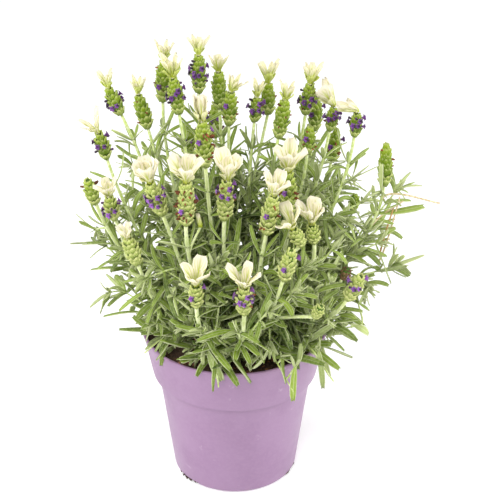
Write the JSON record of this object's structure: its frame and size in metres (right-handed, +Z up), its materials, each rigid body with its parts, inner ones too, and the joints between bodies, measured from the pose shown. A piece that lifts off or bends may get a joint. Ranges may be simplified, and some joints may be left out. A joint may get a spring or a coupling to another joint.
{
  "type": "potted lavender",
  "caption": "Butterfly lavender in a tapered plastic pot with a deep collar: leafy stems stand in the soil and end in scaly flower spikes, most with a crown of pale bracts.",
  "frame": {"origin": "middle of the flat underside of the pot", "axes": "+Z up out of the pot, +X to the right and +Y to the back of the plant as it is usually seen"},
  "size_m": [0.2827, 0.2535, 0.365],
  "materials": {
    "pot": "satin",
    "soil": "matte",
    "foliage": "matte",
    "bracts": "matte"
  },
  "bodies": {
    "root": {"bracts_01": "bracts", "bracts_02": "bracts", "bracts_04": "bracts", "bracts_05": "bracts", "bracts_06": "bracts", "bracts_07": "bracts", "bracts_08": "bracts", "bracts_09": "bracts", "bracts_10": "bracts", "bracts_11": "bracts", "bracts_14": "bracts", "bracts_15": "bracts", "bracts_16": "bracts", "bracts_17": "bracts", "bracts_20": "bracts", "bracts_22": "bracts", "bracts_24": "bracts", "bracts_25": "bracts", "bracts_26": "bracts", "bracts_27": "bracts", "bracts_28": "bracts", "bracts_29": "bracts", "bracts_30": "bracts", "bracts_32": "bracts", "bracts_33": "bracts", "bracts_34": "bracts", "pot": "pot", "soil": "soil", "stem_01": "foliage", "stem_02": "foliage", "stem_03": "foliage", "stem_05": "foliage", "stem_06": "foliage", "stem_07": "foliage", "stem_08": "foliage", "stem_09": "foliage", "stem_10": "foliage", "stem_11": "foliage", "stem_12": "foliage", "stem_13": "foliage", "stem_14": "foliage", "stem_16": "foliage", "stem_17": "foliage", "stem_18": "foliage", "stem_19": "foliage", "stem_20": "foliage", "stem_21": "foliage", "stem_22": "foliage", "stem_23": "foliage", "stem_24": "foliage", "stem_25": "foliage", "stem_26": "foliage", "stem_27": "foliage", "stem_28": "foliage", "stem_30": "foliage", "stem_31": "foliage", "stem_32": "foliage", "stem_33": "foliage", "stem_34": "foliage", "stem_35": "foliage"}
  },
  "joints": []
}
